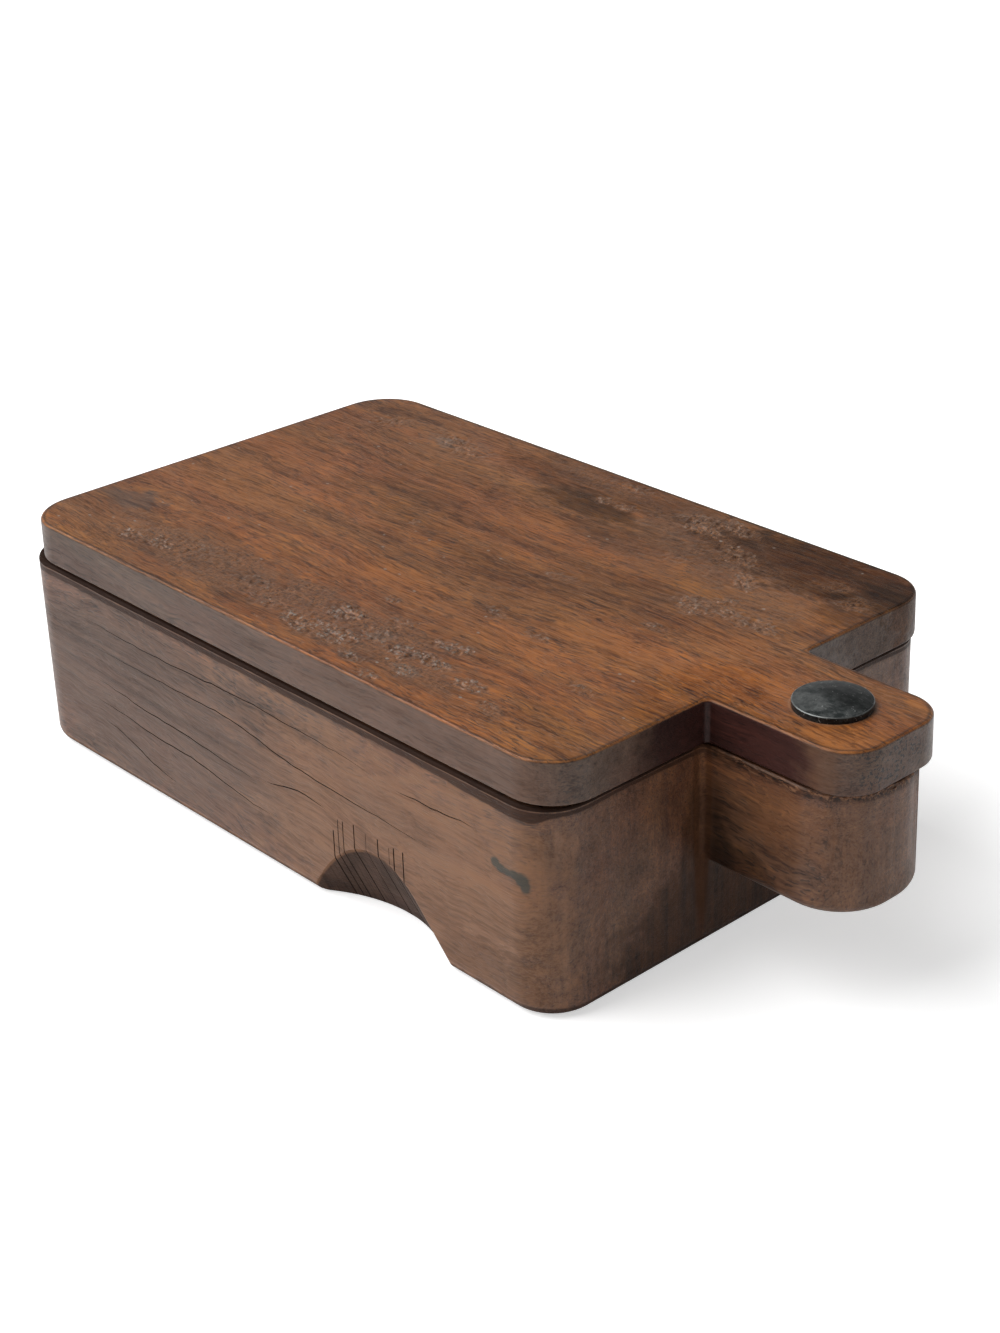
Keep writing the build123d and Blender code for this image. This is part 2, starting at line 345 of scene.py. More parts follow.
def merged_copy(node_name, piece_name):
    """A piece that starts as a copy of a CAD node, its loose triangles merged into whole faces."""
    mesh = frame["nodes"][node_name].data.copy()
    piece = bpy.data.objects.new(piece_name, mesh)
    bpy.context.scene.collection.objects.link(piece)
    mesh.materials.clear()
    with editing(piece):
        bpy.ops.mesh.customdata_custom_splitnormals_clear()
        bpy.ops.mesh.select_all(action="SELECT")
        bpy.ops.mesh.remove_doubles(threshold=0.002 * MM)
        bpy.ops.mesh.dissolve_limited(angle_limit=math.radians(0.2))
    return piece


def apply_modifier(piece, kind, **settings):
    """Adds a modifier, gives it its settings and applies it."""
    modifier = piece.modifiers.new(kind.title(), kind)
    for name, value in settings.items():
        setattr(modifier, name, value)
    only(piece)
    bpy.ops.object.modifier_apply(modifier=modifier.name)


def join(pieces, name):
    """One object of several."""
    only(pieces[0])
    for piece in pieces:
        piece.select_set(True)
    bpy.ops.object.join()
    pieces[0].name = name
    return pieces[0]


def settle(piece):
    """Moves a piece's place into its mesh."""
    only(piece)
    bpy.ops.object.transform_apply(location=True, rotation=True, scale=True)


def smooth(piece, degrees):
    """Shades a piece smoothly up to an angle, and keeps its flat faces flat."""
    only(piece)
    bpy.ops.object.shade_smooth_by_angle(angle=math.radians(degrees))
    apply_modifier(piece, "WEIGHTED_NORMAL", keep_sharp=True)


def reshape(piece, place_for):
    """Moves a piece's points to new places, which may follow their places and normals."""
    points = piece.data.vertices
    places = [place_for(point.co.copy(), point.normal.copy()) for point in points]
    points.foreach_set("co", [part for place in places for part in place])
    piece.data.update()


def write_mask(piece, name, values):
    """Stores a mask on the piece's points, for its material to read."""
    layer = piece.data.attributes.new(name, "FLOAT", "POINT")
    layer.data.foreach_set("value", values)


def soft_step(value, low, high):
    """0 below low, 1 above high, and a smooth rise between them."""
    share = min(max((value - low) / (high - low), 0), 1)
    return share * share * (3 - 2 * share)


def dress(piece, body, replaced):
    """Gives a finished piece its body, and hides the CAD node that it stands for."""
    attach(piece, body)
    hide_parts(replaced)


# Shader helpers

class Wire:
    """What a node puts out: its first output, or the one that [] picks.

    Sums and products of wires are nodes again, on vectors where either side is one.
    """

    def __init__(self, net, node, output=0):
        self.net = net
        self.node = node
        self.output = output

    def __getitem__(self, output):
        return Wire(self.net, self.node, output)

    def __add__(self, other):
        return maths("ADD", self, other)

    def __sub__(self, other):
        return maths("SUBTRACT", self, other)

    def __rsub__(self, other):
        return maths("SUBTRACT", other, self)

    def __mul__(self, other):
        return maths("MULTIPLY", self, other)

    def __truediv__(self, other):
        return maths("DIVIDE", self, other)

    def __gt__(self, other):
        return maths("GREATER_THAN", self, other)

    def __abs__(self):
        return maths("ABSOLUTE", self)

    __radd__ = __add__
    __rmul__ = __mul__

    @property
    def socket(self):
        return self.node.outputs[self.output]

    def length(self):
        """Length of a vector."""
        return maths("LENGTH", self)["Value"]

    def split(self):
        """The three parts of a vector or colour, picked by [0], [1] and [2]."""
        return self.net.add("ShaderNodeSeparateXYZ", {0: self})

    def rise(self, low, high, start=0.0, end=1.0):
        """A smooth step from start, at low, to end, at high."""
        inputs = {"Value": self, "From Min": low, "From Max": high, "To Min": start, "To Max": end}
        return self.net.add("ShaderNodeMapRange", inputs, interpolation_type="SMOOTHSTEP")

    def mapped(self, scale, shift=(0, 0, 0), turn=0.0):
        """Coordinates that give a pattern its scale, its shift and its turn about Z."""
        inputs = {"Vector": self, "Scale": scale, "Location": shift, "Rotation": (0, 0, turn)}
        return self.net.add("ShaderNodeMapping", inputs)

    def noise(self, scale, detail=2.0, roughness=0.5, distortion=0.0, shift=(0, 0, 0), turn=0.0):
        """Noise with a scale of its own along each axis."""
        inputs = {"Vector": self.mapped(scale, shift, turn), "Scale": 1.0, "Detail": detail,
                  "Roughness": roughness, "Distortion": distortion}
        return self.net.add("ShaderNodeTexNoise", inputs)


class Net:
    """Adds nodes to one node tree and joins them as it goes."""

    def __init__(self, tree):
        self.tree = tree

    def add(self, kind, inputs=(), **settings):
        """A node with its settings, and with values or wires in its inputs."""
        node = self.tree.nodes.new(kind)
        for name, value in settings.items():
            setattr(node, name, value)
        for name, value in dict(inputs).items():
            self.feed(node.inputs[name], value)
        return Wire(self, node)

    def feed(self, socket, value):
        """Leads a wire to a socket, or sets the socket's value."""
        if isinstance(value, Wire):
            self.tree.links.new(value.socket, socket)
        elif socket.type == "RGBA" and len(value) == 3:
            socket.default_value = (*value, 1)
        else:
            socket.default_value = value


class Surface(Net):
    """A material in the making, with the place of each point and the way that it faces."""

    def __init__(self, name, gloss=0.5):
        self.material = bpy.data.materials.new(name)
        self.material.use_nodes = True
        super().__init__(self.material.node_tree)
        self.inputs = self.tree.nodes["Principled BSDF"].inputs
        self.inputs["Specular IOR Level"].default_value = gloss
        self.inputs["Coat Roughness"].default_value = 0.42
        own = self.add("ShaderNodeTexCoord")
        self.place = own["Object"]
        self.facing = own["Normal"].split()

    def mask(self, name):
        """A mask that is stored on the piece's points."""
        return self.add("ShaderNodeAttribute", attribute_name=name)["Fac"]

    def relief(self, height, distance):
        """Fine relief, as deep as a distance where its height is 1."""
        bump = self.add("ShaderNodeBump", {"Height": height, "Distance": distance, "Strength": 1.0})
        self.feed(self.inputs["Normal"], bump)

    def finished(self, **inputs):
        """Feeds the shader's inputs, named with underscores for spaces, and hands the material over."""
        for name, value in inputs.items():
            self.feed(self.inputs[name.replace("_", " ").title()], value)
        return self.material


def maths(operation, *values):
    """A math node, or a vector math node where one of the values is a vector or colour."""
    flat = all(value.socket.type == "VALUE" if isinstance(value, Wire)
               else isinstance(value, (int, float)) for value in values)
    net = next(value.net for value in values if isinstance(value, Wire))
    kind = "ShaderNodeMath" if flat else "ShaderNodeVectorMath"
    return net.add(kind, dict(enumerate(values)), operation=operation)


def most(*values):
    """The strongest of several masks, or the greatest of several values."""
    joined = values[0]
    for value in values[1:]:
        joined = maths("MAXIMUM", joined, value)
    return joined


def cover(colour, mask, new, way="MIX"):
    """A colour with a new one laid over it as far as a mask says."""
    inputs = {0: mask, 6: colour, 7: new}
    return mask.net.add("ShaderNodeMix", inputs, data_type="RGBA", blend_type=way)[2]


def shared(name, inputs, outputs):
    """Turns a recipe into a node group, which is built at its first call and placed by each."""
    def build(recipe):
        tree = bpy.data.node_groups.new(name, "ShaderNodeTree")
        for side, sockets in (("INPUT", inputs), ("OUTPUT", outputs)):
            for title, kind in sockets.items():
                tree.interface.new_socket(title, in_out=side, socket_type="NodeSocket" + kind)
        net = Net(tree)
        results = recipe(net.add("NodeGroupInput"))
        end = net.add("NodeGroupOutput").node
        for title, wire in results.items():
            net.feed(end.inputs[title], wire)

    def wrap(recipe):
        def placed(vector, **values):
            if name not in bpy.data.node_groups:
                build(recipe)
            tree = bpy.data.node_groups[name]
            group = vector.net.add("ShaderNodeGroup", {"Vector": vector}, node_tree=tree)
            for key, value in values.items():
                vector.net.feed(group.node.inputs[key.replace("_", " ").capitalize()], value)
            return group
        return placed
    return wrap


# Node groups that the materials share. Each puts out its first result unless [] picks another

@shared("Wood figure",
        {"Vector": "Vector", "Light": "Color", "Middle": "Color", "Dark": "Color",
         "Pore": "Color", "Pore share": "Float", "Contrast": "Float"},
        {"Colour": "Color", "Tone": "Float", "Height": "Float"})
def wood_figure(given):
    """Grain of one solid block of wood whose fibres run along X."""
    wander = given["Vector"].noise((7, 22, 22))["Color"] - (0.5, 0.5, 0.5)
    ripple = given["Vector"].noise((70, 40, 40), shift=(2, 6, 3))["Color"] - (0.5, 0.5, 0.5)
    flow = given["Vector"] + wander * (0, 0.022, 0.022) + ripple * (0, 0.0025, 0.0025)
    tone = 0.0
    for weight, scale, detail, roughness in (
            (0.17, (7, 75, 75), 3, 0.55), (0.20, (13, 260, 260), 4, 0.7),
            (0.28, (36, 900, 900), 3, 0.65), (0.20, (120, 2100, 2100), 2, 0.6),
            (0.15, (40, 90, 70), 5, 0.65)):
        tone += flow.noise(scale, detail, roughness, shift=(weight * 30, 1, 5)) * weight
    tone = (tone - 0.5) * given["Contrast"] + 0.5
    colour = cover(given["Dark"], tone.rise(0.0, 0.5), given["Middle"])
    colour = cover(colour, tone.rise(0.5, 1.0), given["Light"])
    pores = flow.noise((190, 1900, 1900), 0, shift=(4, 2, 8))
    lines = flow.noise((60, 1500, 1500), 1, shift=(8, 3, 1))
    pores = most(pores.rise(0.60, 0.70), lines.rise(0.60, 0.72) * 0.7)
    colour = cover(colour, pores * given["Pore share"], given["Pore"])
    hue = flow.noise((11, 48, 48), 4, 0.6, shift=(9, 1, 4)).rise(0.36, 0.64)
    colour = colour * cover((0.94, 1.02, 1.03), hue, (1.06, 0.98, 0.95))
    return {"Colour": colour, "Tone": tone, "Height": tone - pores}


@shared("Spot", {"Vector": "Vector", "Centre": "Vector", "Radii": "Vector", "Ragged": "Float"},
        {"Mask": "Float"})
def ragged_spot(given):
    """A soft-edged, ragged spot at a place, such as a stain."""
    reach = ((given["Vector"] - given["Centre"]) / given["Radii"]).length()
    ragged = given["Vector"].noise((120, 180, 180), 4, 0.6) - 0.5
    return {"Mask": (reach + ragged * given["Ragged"]).rise(1.1, 0.6)}


@shared("Torn grain", {"Vector": "Vector", "Torn": "Float", "Flake": "Float"},
        {"Dust": "Float", "Specks": "Float", "Pit": "Float", "Ground": "Float", "Height": "Float"})
def torn_grain(given):
    """Dusty flakes and dark pits of torn grain, finer than the mesh that carries them."""
    place, torn, flake = given["Vector"], given["Torn"], given["Flake"]
    crumbs = place.noise((480, 900, 900), 3, 0.6, 0.6)
    strokes = place.noise((1500, 420, 900), 2, 0.6, 0.4, turn=0.5)
    dust = (flake + (strokes - 0.5) * 2.2).rise(0.25, 0.7) * flake.rise(0.02, 0.25)
    sand = place.noise((900, 1300, 900), 2, 0.6, 0.5, shift=(7, 1, 2))
    patchy = place.noise((90, 130, 90), 3, 0.6, shift=(1, 4, 2))
    specks = most(strokes.rise(0.51, 0.62), sand.rise(0.50, 0.60)) * patchy.rise(0.36, 0.58, 0.3, 1.0)
    pit = place.noise((300, 620, 620), 3, 0.6, 0.5, shift=(5, 3, 1)).rise(0.53, 0.64)
    return {"Dust": dust, "Specks": specks * torn, "Pit": pit * torn,
            "Ground": crumbs.rise(0.35, 0.6, 0.55, 1.0) * torn, "Height": crumbs * torn}


@shared("Board outline",
        {"Vector": "Vector", "Centre": "Vector", "Half size": "Vector", "Corner": "Float"},
        {"Depth": "Float"})
def board_outline(given):
    """How deep a place lies inside a rounded rectangle in plan, in metres."""
    away = abs(given["Vector"] - given["Centre"])
    past = (away - given["Half size"] + given["Corner"]) * (1, 1, 0)
    inner = maths("MINIMUM", most(past.split()[0], past.split()[1]), 0.0)
    return {"Depth": given["Corner"] - (most(past, (0, 0, 0)).length() + inner)}


@shared("Edge rub", {"Vector": "Vector", "Edge": "Float", "Amount": "Float"}, {"Mask": "Float"})
def edge_rub(given):
    """Where a raised edge is rubbed: its normal leans, broken up by noise."""
    patchy = given["Vector"].noise((160, 160, 160), 4, 0.65) - 0.5
    return {"Mask": (given["Edge"] + patchy).rise(0.7, 1.15) * given["Amount"]}


# Patterns and materials

def spot(place, centre, radii, ragged=1.2):
    """A spot whose centre and radii are given in millimetres."""
    return ragged_spot(place, centre=Vector(centre) * MM, radii=Vector(radii) * MM, ragged=ragged)


def marked(colour, place, dull, marks):
    """A colour with spots laid over it, one after the other.

    Each has its centre and radii in millimetres, its raggedness, strength and colour, and how
    much wax it takes, which goes on the list of dull masks.
    """
    for centre, radii, ragged, strength, tint, dulled in marks:
        mask = spot(place, centre, radii, ragged)
        colour = cover(colour, mask * strength, tint)
        if dulled:
            dull.append(mask * dulled)
    return colour


def waxed(place, tone, dull, thickness):
    """Weight of the wax: smeared, thin on dark grain, and gone where a mask says dull."""
    smear = place.noise((60, 200, 200), 5, 0.65)
    wax = smear.rise(0.3, 0.7, 1.12, 0.88) * tone.rise(0.0, 0.7, 0.66, 1.08)
    return wax * (1.0 - most(*dull)) * thickness


def edge_depth(place):
    """How far a place lies inside the lid's outline in plan, in millimetres."""
    middle = (lid_low.x + board_end) / 2
    near_handle = place.split()[0] > middle
    board = board_outline(place, centre=(middle, 0, 0), corner=20 * MM - near_handle * (2.5 * MM),
                          half_size=(board_end - middle, lid_high.y, 1))
    tongue = board_outline(place, centre=(lid_high.x - 50 * MM, 0, 0), corner=14 * MM,
                           half_size=(50 * MM, tongue_half, 1))
    return most(board, tongue) / MM


def fanned(place):
    """Coordinates in which the body's grain fans out downward, away from the handle."""
    where = place.split()
    below = most(0.060 - where[2], 0.0)
    along = maths("MINIMUM", where[0] + 0.13, 0.15)
    lift = below * along * 1.8
    return place.net.add("ShaderNodeCombineXYZ", {0: where[0], 1: where[1], 2: where[2] + lift})


def make_lid_wood(finish):
    """Red-brown stained lid: streaked top, duller sides, torn grain, rubbed edges, and painted shade in
    the corner beside the tongue.
    """
    lid = Surface("lid wood", finish.wood_gloss)
    place, facing = lid.place, lid.facing
    up = facing[2]
    on_top = up.rise(0.35, 0.75)
    dull = []
    top = wood_figure(place, light=finish.lid_light, middle=finish.lid_middle,
                      dark=finish.lid_dark, pore=finish.pore, pore_share=0.6, contrast=5.7)
    glow = most(*(spot(place, (x, y, 91), (length, width, 30)) * amount
                  for x, y, length, width, amount in ORANGE_AREAS))
    colour = cover(top, glow * top["Tone"].rise(0.2, 0.7, 0.3, 1.0), finish.lid_light)
    fibres = place.noise((260, 1500, 900), 2, 0.55, 0.3, turn=0.42).rise(0.54, 0.64)
    scuffed = place.noise((22, 30, 30), 3, 0.6, shift=(6, 2, 4)).rise(0.38, 0.58, 0.25, 1.0)
    colour = cover(colour, fibres * scuffed * 0.6, finish.fibre)
    colour = marked(colour, place, dull, (
        ((x, y, 91), (length, width, 30), 1.2, amount, BLACK, 1.5 * amount)
        for x, y, length, width, amount in DARK_AREAS))
    top_colour = marked(colour, place, dull, (
        ((-150, -52, 91), (15, 8, 20), 2.2, 0.5, finish.faded, 0),))

    side = wood_figure(place, light=finish.edge_light, middle=finish.edge_middle,
                       dark=finish.side_dark, pore=finish.pore, pore_share=0.5, contrast=5.0)
    side_colour = marked(side, place, dull, (
        ((150, -24, 83), (22, 6, 14), 1.2, 0.5, finish.edge_light, 0.45),
        ((64, -90, 83), (96, 10, 30), 1.2, 0.3, finish.edge_light, 0),
        ((-152, -90, 83), (46, 16, 30), 1.2, 0.15, BLACK, 0.13)))
    # Painted shade in the corner where the board's end meets the tongue's side
    nook_shade = most(spot(place, (114, -24, 83), (24, 32, 30), 0.6),
                spot(place, (131, -24, 83), (30, 6, 30), 0.6))
    side_colour = cover(side_colour, nook_shade, finish.nook_shade, "MULTIPLY")
    tongue_end = spot(place, (173, -6, 85), (8, 17, 11), 1.4)
    end_pores = place.noise((500, 900, 900), 1).rise(0.56, 0.62) * abs(facing[0]).rise(0.6, 0.9)
    end_pores = end_pores * tongue_end.rise(0.0, 1.0, 0.2, 1.0)
    side_colour = cover(side_colour, end_pores * 0.9, finish.pore)
    colour = cover(side_colour, on_top, top_colour)

    torn = torn_grain(place, torn=lid.mask("torn"), flake=lid.mask("flake"))
    colour = cover(colour, torn["Ground"] * 0.88, finish.torn)
    colour = marked(colour, place, dull, (
        (centre, radii, 2.4, 0.35, finish.grey, 0) for centre, radii in (
            ((8.4, -64.2, 91), (6, 5, 20)), ((-108, 66, 91), (8, 4, 20)),
            ((33.8, -74.5, 91), (7, 3, 20)))))
    colour = cover(colour, torn["Pit"] * 0.75, finish.pore)
    colour = cover(colour, torn["Specks"] * 0.85, finish.fibre)
    cells = lid.add("ShaderNodeTexVoronoi", {"Vector": place.mapped((130, 170, 130)), "Scale": 1.0})
    dots = cells["Distance"].rise(0.11, 0.06) * cells["Color"].split()[0].rise(0.62, 0.66)
    colour = cover(colour, dots * up.rise(0.9, 0.98) * 0.75, finish.chalk)
    cool = place.noise((260, 400, 400), 3, 0.6, shift=(2, 2, 5)).rise(0.42, 0.58)
    chalk = cover(finish.chalk, cool, finish.grey)
    chalk = cover(chalk, place.split()[1].rise(-0.01, 0.04, 0.0, 0.6), finish.tan)
    colour = cover(colour, torn["Dust"] * 0.7, chalk)

    uneven = place.noise((220, 220, 220), 3, 0.6)
    inner_line = edge_depth(place) + uneven * 1.6
    inner_line = inner_line.rise(1.6, 2.0) * inner_line.rise(3.2, 2.2) * up.rise(0.8, 0.95)
    colour = cover(colour, inner_line * 0.55, BLACK)
    rub = up.rise(0.42, 0.62) * up.rise(0.93, 0.8)
    colour = cover(colour, edge_rub(place, edge=rub, amount=0.42), finish.worn)
    around = ((place - pivot) * (1, 1, 0)).length() + uneven * (1.2 * MM)
    ring = around.rise(14.6 * MM, 13.6 * MM) * up.rise(0.9, 0.99)
    colour = cover(colour, ring * 0.5, finish.worn)

    dull += [nook_shade * 0.75, tongue_end * 0.2, torn["Ground"] * 0.45, rub * 0.95,
             spot(place, (115.4, -23.4, 83), (5, 5, 20), 0.0) * 0.85]
    tone = cover(side["Tone"], on_top, top["Tone"])
    lid.relief(top["Height"] * up.rise(0.5, 0.9, 0.3, 1.0) + torn["Height"] - end_pores, 0.1 * MM)
    return lid.finished(
        base_color=colour, coat_weight=waxed(place, tone, dull, finish.lid_wax),
        roughness=top["Tone"].rise(0.1, 0.9, 0.46, 0.36) + torn["Dust"] * 0.3)


def make_body_wood(finish):
    """Brown stained body: waxed sides, scoops darkened by dirt and painted shade, a rim band of rubbed
    wood and painted shade, more painted shade under the lid, under the handle block and in corners, and
    bare pockets.
    """
    body = Surface("body wood", finish.wood_gloss)
    place, facing = body.place, body.facing
    where = place.split()
    grain = fanned(place)
    wood = wood_figure(grain, light=finish.side_light, middle=finish.side_middle,
                       dark=finish.side_dark, pore=finish.pore, pore_share=0.6, contrast=5.0)
    pale = spot(place, (45, -90, 30), (95, 20, 48), 1.4)
    colour = cover(wood, wood["Tone"].rise(0.1, 0.9, 0.45, 0.85) * pale, finish.sapwood_and_highlight)
    old_side = spot(place, (-110, -90, 36), (100, 20, 34), 1.0)
    colour = cover(colour, old_side * 0.6, finish.old)
    lines = grain.noise((5, 300, 300), 3, 0.6, shift=(3, 0, 2)).rise(0.5, 0.66) * old_side
    colour = cover(colour, lines * 0.34, BLACK)
    dull = [lines * 0.2]
    # Spots, one per row. Rows two to four are painted shade: under the handle block, in the corner
    # between the end face and the block's near side, and low on that side. Row eight is a painted
    # highlight on the near rounded corner.
    colour = marked(colour, place, dull, (
        ((-130, -90, 45), (60, 20, 50), 1.2, 0.1, BLACK, 0),
        ((116, -18, 10), (16, 52, 26), 0.9, 0.72, BLACK, 0.55),
        ((116, -24, 36), (12, 10, 30), 0.9, 0.58, BLACK, 0.5),
        ((128, -24, 36), (20, 8, 10), 0.9, 0.5, BLACK, 0.5),
        ((-173, 0, 20), (10, 70, 24), 0.9, 0.3, BLACK, 0.3),
        ((84, -90, 8), (26, 20, 12), 0.9, 0.25, BLACK, 0.25),
        ((42, -90, 46), (26, 9, 10), 1.2, 0.12, BLACK, 0),
        ((109, -85, 58), (11, 11, 13), 1.6, 0.3, finish.sapwood_and_highlight, 0),
        ((149, -24, 60), (20, 8, 13), 1.6, 0.35, finish.side_light, 0.25),
        ((171, -16, 54), (12, 13, 22), 1.4, 0.2, finish.side_light, 0)))
    streaks = place.noise((160, 520, 11), 5, 0.7).rise(0.36, 0.64)
    streaks = cover(finish.side_dark, streaks, finish.side_light)
    colour = cover(colour, abs(facing[0]).rise(0.25, 0.8) * 0.2, streaks)
    colour = marked(colour, place, dull, (
        ((110.6, -83, 62), (1.1, 1.7, 9), 2.6, 0.3, finish.worn, 0),
        ((112.9, -78.2, 61), (1, 1.6, 6), 2.6, 0.22, finish.worn, 0),
        ((111.4, -81.6, 30), (1.2, 1.8, 22), 2.6, 0.12, finish.worn, 0),
        ((105.5, -90, 38), (1, 1.6, 34), 2.6, 0.16, finish.worn, 0)))

    uneven = place.noise((170, 170, 170), 4, 0.65)
    on_flat = facing[2].rise(0.9, 0.98)
    on_block = where[0].rise(0.1145, 0.118)
    depth = edge_depth(place)
    off_flat = (1.0 - on_flat) * depth.rise(6.0, 4.0)
    height = where[2] / MM + uneven * 0.3
    level = where[2] / MM + uneven * 1.2 + abs(where[1]).rise(0.083, 0.088) * 0.8
    level = level + where[0].rise(0.05, 0.104, 0.0, 1.6) * where[0].rise(0.112, 0.104)
    # A dark band under the rim: rubbed wood, with painted shade under the lid's edge
    band = level.rise(72.1, 72.8) * height.rise(73.55, 73.3) * on_block.rise(0.0, 1.0, 0.85, 0.45)
    # Painted shade on the rim where the lid's edge hides it
    under_lid_shade = height.rise(73.75, 74.0) * most(off_flat, depth.rise(2.4, 0.6))
    under_lid_shade = under_lid_shade * on_block.rise(0.0, 1.0, 0.95, 0.35)
    # Painted shade just below the lid's edge
    shade_below_lid = level.rise(70.6, 73.4) * off_flat
    colour = cover(colour, shade_below_lid * 0.2, BLACK)
    colour = cover(colour, band, finish.burnished_and_shade)
    colour = cover(colour, under_lid_shade, finish.under_lid_shade)
    splinters = place.noise((170, 900, 700), 3, 0.65, 0.4, shift=(3, 1, 4))
    ragged_rim = on_block * (level.rise(72.3, 73.4) * facing[2].rise(0.95, 0.7))
    colour = cover(colour, ragged_rim * splinters.rise(0.5, 0.4) * 0.7, BLACK)
    colour = cover(colour, ragged_rim * splinters.rise(0.52, 0.62) * 0.6, finish.worn)

    # Down-facing scoop walls get darker sawn wood: dirt, and painted shade under the overhang
    scoop_grime_and_shade = facing[2].rise(-0.12, -0.32) * where[2].rise(0.033, 0.029) * facing[2].rise(-0.97, -0.85)
    sawn = cover(finish.scoop, place.noise((1300, 60, 60)).rise(0.5, 0.62) * 0.5, BLACK)
    sawn = cover(sawn, place.noise((90, 90, 90), 3).rise(0.4, 0.6) * 0.4, BLACK)
    colour = cover(colour, scoop_grime_and_shade * 0.85, sawn)
    scoop_edge = abs(where[1]).rise(0.0892, 0.0897) * facing[2].rise(-0.06, -0.2)
    scoop_edge = scoop_edge * uneven.rise(0.36, 0.56, 0.3, 1.0)
    colour = cover(colour, scoop_edge * 0.6, finish.worn)
    smudge = most(*(spot(place, (x, -90, z), (length, 6, tall), 0.7) for x, z, length, tall in (
        (90.0, 51.0, 2.4, 2.2), (92.4, 49.8, 3.0, 1.9), (95.4, 49.6, 3.2, 1.6),
        (98.4, 49.7, 3.4, 2.0), (101.0, 48.8, 3.2, 3.0), (102.3, 47.0, 2.2, 3.0))))
    colour = cover(colour, smudge * 0.8, finish.smudge)

    inside = wood_figure(place, light=finish.bare, middle=finish.bare, dark=finish.side_middle,
                         pore=finish.side_dark, pore_share=0.6, contrast=3.6)
    clouds = place.noise((30, 45, 45), 4, 0.6, shift=(3, 3, 3)).rise(0.48, 0.62)
    inside = cover(inside, clouds * 0.3, BLACK)
    # Painted shade low on the pocket walls, towards their floors
    pocket_foot_shade = where[2].rise(0.024, 0.0165) * facing[2].rise(0.95, 0.6)
    inside = cover(inside, pocket_foot_shade * 0.45, BLACK)
    bare = body.mask("bare")
    colour = cover(colour, bare, inside)
    rub = facing[2].rise(0.15, 0.4) * facing[2].rise(0.98, 0.85)
    rubbed = edge_rub(place, edge=rub, amount=on_block.rise(0.0, 1.0, 0.14, 0.5) * (1.0 - under_lid_shade))
    colour = cover(colour, rubbed, finish.worn)
    # Painted shade in the inner corner between the end face and the block's side: a mid tone laid over
    # it, with less wax and more roughness
    inner_corner_shade = spot(place, (113.6, -23.4, 53), (5, 5, 60), 0.0)
    colour = cover(colour, inner_corner_shade * 0.3, finish.side_middle)

    dull += [scoop_grime_and_shade, under_lid_shade, band * 1.1, shade_below_lid * 0.3, on_flat * 0.4, bare * 0.85,
             ragged_rim * 0.6, inner_corner_shade * 0.85, smudge * 0.45]
    rough = wood["Tone"].rise(0.1, 0.9, 0.46, 0.36) + bare * 0.3 + scoop_grime_and_shade * 0.2
    body.relief(wood["Height"], 0.08 * MM)
    return body.finished(
        base_color=colour, coat_weight=waxed(place, wood["Tone"], dull, finish.body_wax),
        roughness=rough + most(under_lid_shade, inner_corner_shade) * 0.5)


def make_cut_wood(finish):
    """Dark, dusty inside of the cracks and saw kerfs."""
    cut = Surface("cut wood", 0.3)
    dust = cut.place.noise((500, 500, 500), 4, 0.65)
    cut.relief(dust, 0.1 * MM)
    return cut.finished(base_color=cover(finish.cut, dust.rise(0.45, 0.75), finish.side_dark),
                        roughness=dust.rise(0.3, 0.7, 0.65, 0.85))


def make_black_iron(finish):
    """Blackened iron: satin, mottled, with small pale scuffs, a rubbed rim, a painted highlight on the
    near left of the head, and painted shade on its far right and down its sides.
    """
    iron = Surface("black iron")
    place, up = iron.place, iron.facing[2]
    mottle = place.noise((420, 420, 420), 5, 0.7)
    scuffs = place.noise((620, 620, 900), 2, 0.6, 1.0, shift=(2, 1, 0)).rise(0.66, 0.72)
    scratches = place.noise((300, 2400, 900), 1, shift=(6, 1, 3)).rise(0.66, 0.72)
    rubbed = edge_rub(place, edge=up.rise(0.3, 0.6) * up.rise(0.985, 0.93), amount=0.5)
    colour = cover(finish.iron, mottle.rise(0.38, 0.66, 0.0, 0.26), finish.rubbed_and_lit_iron)
    # Painted highlight on the near left of the head, then painted shade on its far right and down its
    # sides
    colour = cover(colour, spot(place, (142, -6.5, 94), (9, 5, 5)) * 0.2, finish.rubbed_and_lit_iron)
    shadow = most(spot(place, (149, 5, 94), (14, 9, 5)), up.rise(0.35, 0.1) * 1.3)
    colour = cover(colour, shadow * 0.55, BLACK)
    colour = cover(colour, most(scuffs * 0.7, rubbed, scratches * 0.3), finish.rubbed_and_lit_iron)
    iron.relief(mottle, 0.05 * MM)
    return iron.finished(base_color=colour, metallic=0.7, roughness=mottle.rise(0.3, 0.7, 0.34, 0.48))


def make_dull_steel(finish):
    """Plated steel gone dull, with brown tarnish and fine turning marks."""
    steel = Surface("dull steel")
    tarnish = steel.place.noise((260, 260, 260), 4, 0.6)
    steel.relief(steel.place.noise((2500, 2500, 400)), 0.04 * MM)
    return steel.finished(base_color=cover(finish.steel, tarnish.rise(0.45, 0.7), finish.tarnish),
                          metallic=1.0, roughness=tarnish.rise(0.3, 0.75, 0.32, 0.62))


def make_stage_white(stage):
    """Pale floor that keeps the box's shadow, and reads as white where it is seen."""
    floor = Surface("floor", 0.0)
    speckle = floor.place.noise((30, 30, 30), 3).rise(0.2, 0.8)
    ray = floor.add("ShaderNodeLightPath")
    mirrored = most(ray["Is Glossy Ray"], ray["Is Transmission Ray"])
    return floor.finished(
        base_color=cover(stage.floor, speckle, [0.99 * part for part in stage.floor]),
        roughness=0.9, emission_color=(1, 1, 1),
        emission_strength=ray["Is Camera Ray"] * stage.floor_glow + mirrored * stage.floor_sheen)


# Cutters and carved detail

